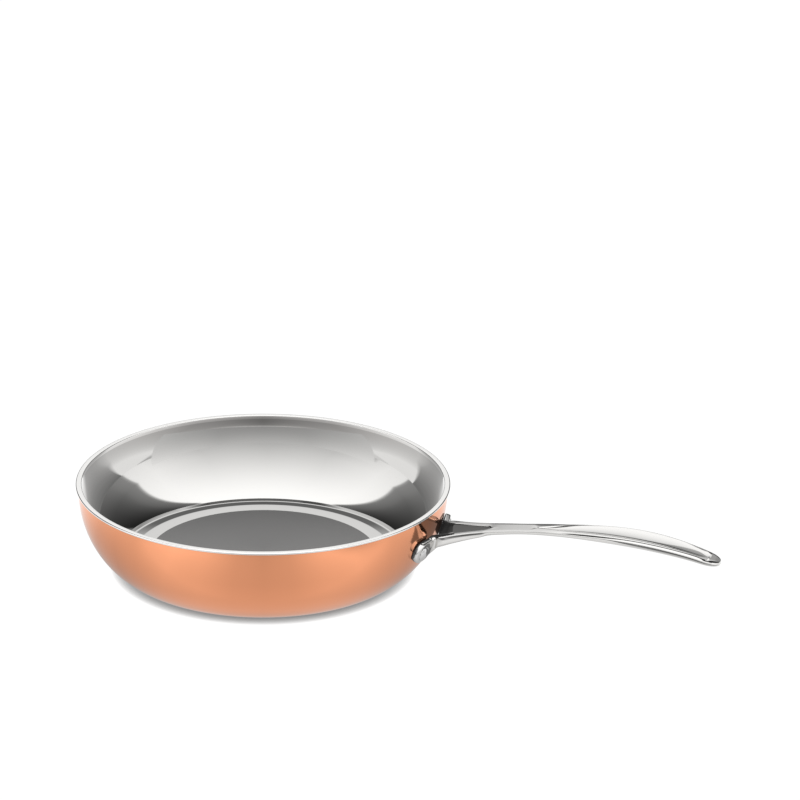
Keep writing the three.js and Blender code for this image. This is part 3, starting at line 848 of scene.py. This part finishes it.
crossing = add(tree, RANGE, {"Value": farther, "From Min": -0.13, "From Max": -0.05})
graded = add(tree, MIX, {0: crossing, 2: in_front, 3: behind})

# %% White to the camera but for the shadow where the pan stands, and graded to the metal
SHADOW_REACH = 6.5
DARKEST_SHADOW = 0.2
path = add(tree, "ShaderNodeLightPath").outputs
glossy, passing = path["Is Glossy Ray"], path["Is Transmission Ray"]
mirrored = add(tree, MATH, {0: glossy, 1: passing}, operation="MAXIMUM")
mirrored = add(tree, MATH, {0: mirrored, 1: graded}, operation="MULTIPLY")
contact = add(tree, "ShaderNodeAmbientOcclusion", {"Distance": SHADOW_REACH * MM}, samples=6)
contact = add(tree, RANGE, {"Value": contact.outputs["AO"], "To Min": DARKEST_SHADOW})
shown = add(tree, MATH, {0: path["Is Camera Ray"], 1: contact}, operation="MULTIPLY")
paper_glow = add(tree, MATH, {0: shown, 1: mirrored}, operation="ADD")
tree.links.new(paper_glow.outputs[0], shader.inputs["Emission Strength"])
print("paper has", len(tree.nodes), "nodes")

# %% [markdown]
# The rest of the room is the world, bright or dark by direction. Turn is the angle from the camera's
# side, 0 in front and 180 behind, and height is how far a direction points up. In front is a white tent
# that gets brighter upwards and to the sides. Two black flags stand left and right behind the pan, which
# give the metal its dark, crisp edges, and between them is a pale backdrop. Lamps could stand there
# instead, but here each part of the room is one short chain of nodes.

# %% World: each direction's turn and height, with the flags standing a little wider low down
FLAG_SHIFT = 0.045
LOW_WIDENING = 0.157
world = bpy.data.worlds.new("studio")
bpy.context.scene.world = world
world.use_nodes = True
tree = world.node_tree
background = tree.nodes["Background"]
background.inputs["Color"].default_value = (1, 1, 1, 1)
direction = add(tree, "ShaderNodeTexCoord").outputs["Generated"]
height = add(tree, AXES, {0: direction}).outputs["Z"]
rightward = add(tree, VECTOR, {0: direction, 1: to_right}, operation="DOT_PRODUCT").outputs["Value"]
frontward = add(tree, VECTOR, {0: direction, 1: level_back}, operation="DOT_PRODUCT").outputs["Value"]
turn = add(tree, MATH, {0: rightward, 1: frontward}, operation="ARCTAN2")
turn = add(tree, MATH, {0: turn, 1: FLAG_SHIFT}, operation="ADD")
turn = add(tree, MATH, {0: turn}, operation="ABSOLUTE")
wider = add(tree, RANGE, {"Value": height, "From Max": 0.25, "To Min": LOW_WIDENING, "To Max": 0})
turn = add(tree, MATH, {0: turn, 1: wider}, operation="SUBTRACT")
turn = add(tree, RANGE, {"Value": turn, "From Max": math.pi})

# %% World: the tent, and the flags with the backdrop between them
SIDE_LIGHT = [(0, 0), (40, 0.12), (55, 0.31), (78, 0.6), (95, 0.6), (96, 0)]
FLAGS = [(94, 1), (98, 0.6), (106, 0.52), (111, 0.44), (118, 0.36), (127, 0.28), (136, 0.22), (152, 0.18),
         (157, 1)]
RAISED_BACKDROP = 0.6
side_light = add(tree, RAMP, {0: turn})
fill_ramp(side_light, 0, 180, SIDE_LIGHT)
lower = add(tree, MATH, {0: 1.0, 1: height}, operation="SUBTRACT")
tent = add(tree, MATH, {0: height, 1: 1.02, 2: 0.57}, operation="MULTIPLY_ADD")
tent = add(tree, MATH, {0: side_light, 1: lower, 2: tent}, operation="MULTIPLY_ADD")
flags = add(tree, RAMP, {0: turn})
fill_ramp(flags, 0, 180, FLAGS)
power = add(tree, MATH, {0: height, 1: 3, 2: 1}, operation="MULTIPLY_ADD")
flags = add(tree, MATH, {0: flags, 1: power}, operation="POWER")
overhead = add(tree, RANGE, {"Value": height, "From Min": 0.9, "From Max": 0.96})
flags = add(tree, MIX, {0: overhead, 2: flags, 3: 1.0})
backdrop = add(tree, RANGE, {"Value": turn, "From Min": 0.76, "From Max": 0.8, "To Max": RAISED_BACKDROP})
raised = add(tree, RANGE, {"Value": height, "From Min": 0.36, "From Max": 0.42})
backdrop = add(tree, MATH, {0: backdrop, 1: raised}, operation="MULTIPLY")
flags = add(tree, MATH, {0: flags, 1: backdrop}, operation="MAXIMUM")

# %% [markdown]
# Four narrow dark parts finish the room. A gap in the roof draws the line under the crease of the floor,
# the low part of the backdrop darkens the groove and the disc's far side, a slanted edge of the right flag
# lies in the end of the scoop, and a dark horizon in front draws the line along the handle's lower edge.

# %% World: the four dark parts, and the product of them all
ROOF_GAP = [(0.25, 1), (0.27, 0.12), (0.38, 0.1), (0.4, 1)]
LOW_BACKDROP = 0.22
SLANT, SLANTED_FLAG = -3.95, 0.45
DARK_HORIZON = 0.05
gap = add(tree, RANGE, {"Value": frontward, "From Min": -1, "From Max": 1})
gap = add(tree, RAMP, {0: gap})
fill_ramp(gap, 0, 1, ROOF_GAP)
high = add(tree, RANGE, {"Value": height, "From Min": 0.82, "From Max": 0.88})
gap = add(tree, MIX, {0: high, 2: 1.0, 3: gap})
far_side = add(tree, RANGE, {"Value": turn, "From Min": 0.84, "From Max": 0.87})
sweep = add(tree, RANGE, {"Value": height, "From Min": 0.2, "From Max": 0.31, "To Min": LOW_BACKDROP})
sweep = add(tree, MIX, {0: far_side, 2: 1.0, 3: sweep})
slant = add(tree, MATH, {0: rightward, 1: SLANT, 2: height}, operation="MULTIPLY_ADD")
slant = add(tree, RANGE, {"Value": slant, "From Min": -0.33, "From Max": -0.31, "To Min": SLANTED_FLAG})
slant = add(tree, MIX, {0: far_side, 2: 1.0, 3: slant})
horizon = add(tree, RANGE, {"Value": height, "From Min": 0.05, "From Max": 0.068, "To Min": DARK_HORIZON})
off_front = add(tree, RANGE, {"Value": turn, "From Min": 0.32, "From Max": 0.38})
horizon = add(tree, MIX, {0: off_front, 2: horizon, 3: 1.0})
strength = tent
for dimming in (flags, gap, sweep, slant, horizon):
    strength = add(tree, MATH, {0: strength, 1: dimming}, operation="MULTIPLY")
seen = add(tree, "ShaderNodeLightPath").outputs["Is Camera Ray"]
strength = add(tree, MIX, {0: seen, 2: strength, 3: 1.0})
tree.links.new(strength.outputs[0], background.inputs["Strength"])
print("world has", len(tree.nodes), "nodes")

# %% [markdown]
# ## Cards
# Two cards stand where only reflections see them. A ring inside the near wall takes that wall's place in
# the bowl's reflections, graded so that the far wall is even, and a card between the handle's arms gives
# their inner faces one dark grey. The bowl's own layers and the rivets stay out of reflections, so that
# the cards alone set the tones there. Real mirrors that face each other could do it too, but then one
# change to the room would move every tone at once.

# %% What every card has: it lights nothing, throws no shadow and doesn't show
def stage_card(card, name):
    card.name = name
    card.visible_camera = False
    card.visible_diffuse = False
    card.visible_shadow = False
    material = bpy.data.materials.new(name + "_paint")
    material.use_nodes = True
    shader = material.node_tree.nodes["Principled BSDF"]
    shader.inputs["Base Color"].default_value = linear("#050505")
    shader.inputs["Emission Color"].default_value = (1, 1, 1, 1)
    card.data.materials.clear()
    card.data.materials.append(material)
    return material.node_tree, shader


# %% The ring, cut away round the far side
RING_HEIGHTS = (0.3, 2, 5, 10, 16, 24, 34, 44, 54, 60, 64)
RING_DEPTH = 1.2
RING_TOP = PAN_HEIGHT - 0.2
RING_STEPS = 192
RING_REACH = math.radians(111)
ring_profile = [layer_point(solve(lambda t: bezier(CURVE, t).y, z), RING_DEPTH) for z in RING_HEIGHTS]
ring_profile += [Vector((WALL_RADIUS - RING_DEPTH, RING_TOP))]
ring = spin_profile("ring_card", ring_profile, RING_STEPS)


def beyond_reach(face):
    return level_back.angle(Vector((face.center.x, face.center.y, 0))) > RING_REACH


select_only(ring)
select_where(ring, "FACE", beyond_reach)
bpy.ops.mesh.delete(type="FACE")
bpy.ops.object.mode_set(mode="OBJECT")
print("ring card keeps", len(ring.data.polygons), "faces")

# %% The ring's paint: inside by turn in degrees and by height, and nearly black outside
RING_LIGHT = [(0, 0.57), (42, 0.6), (80, 0.77), (114, 0.98)]
RING_OUTSIDE = 0.02
tree, shader = stage_card(ring, "ring_card")
surface = add(tree, "ShaderNodeNewGeometry").outputs
spot, facing = surface["Position"], surface["True Normal"]
outward_part = add(tree, VECTOR, {0: facing, 1: spot}, operation="DOT_PRODUCT").outputs["Value"]
inside = add(tree, MATH, {0: outward_part, 1: 0.0}, operation="LESS_THAN")
ring_near = add(tree, VECTOR, {0: spot, 1: level_back}, operation="DOT_PRODUCT").outputs["Value"]
ring_side = add(tree, VECTOR, {0: spot, 1: to_right}, operation="DOT_PRODUCT").outputs["Value"]
ring_turn = add(tree, MATH, {0: ring_side, 1: ring_near}, operation="ARCTAN2")
ring_turn = add(tree, MATH, {0: ring_turn}, operation="ABSOLUTE")
ring_turn = add(tree, RANGE, {"Value": ring_turn, "From Max": math.pi})
ring_light = add(tree, RAMP, {0: ring_turn})
fill_ramp(ring_light, 0, 180, RING_LIGHT)
ring_height = add(tree, AXES, {0: spot}).outputs["Z"]
ring_rise = add(tree, RANGE, {"Value": ring_height, "From Max": 0.065, "To Min": 0.6, "To Max": 1.15})
ring_glow = add(tree, MATH, {0: ring_light, 1: ring_rise}, operation="MULTIPLY")
ring_glow = add(tree, MATH, {0: ring_glow, 1: inside}, operation="MULTIPLY")
ring_glow = add(tree, MATH, {0: ring_glow, 1: RING_OUTSIDE}, operation="MAXIMUM")
tree.links.new(ring_glow.outputs[0], shader.inputs["Emission Strength"])

# %% The card between the arms
FORK_CARD_MIDDLE = (158.2, 0, 33.5)
FORK_CARD_SIZE = (41.6, 37)
FORK_CARD_LIGHT = 0.17
upright = (math.pi / 2, 0, 0)
bpy.ops.object.select_all(action="DESELECT")
bpy.ops.mesh.primitive_plane_add(size=1, rotation=upright, location=metres(*FORK_CARD_MIDDLE))
fork_card = bpy.context.object
fork_card.scale = (*metres(*FORK_CARD_SIZE), 1)
bpy.ops.object.transform_apply()
tree, shader = stage_card(fork_card, "fork_card")
shader.inputs["Emission Strength"].default_value = FORK_CARD_LIGHT
print("fork card is", FORK_CARD_SIZE, "mm")

# %% The pieces that stay out of reflections
for piece in (copper_skin, core_plate, steel_liner, rivet_near, rivet_far):
    piece.visible_glossy = False

# %% [markdown]
# ## View
# The Standard view shows light as it is, so white paper stays white. The other view settings stay as
# they come.

# %% View settings
bpy.context.scene.view_settings.view_transform = "Standard"

# %% [markdown]
# ## Hand the pieces over
# Each new piece rides on the one body and stands for its solid.

# %% Ride on the body and replace the solids
HANDED = ((copper_skin, "copper_shell", "polished_copper"),
          (core_plate, "aluminium_core", "core_aluminium"),
          (steel_liner, "steel_liner", "liner_steel"), (handle, "handle", "cast_steel"),
          (rivet_near, "rivet_near", "rivet_steel"), (rivet_far, "rivet_far", "rivet_steel"))
for piece, node, slot in HANDED:
    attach(piece, "root")
    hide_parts(node)
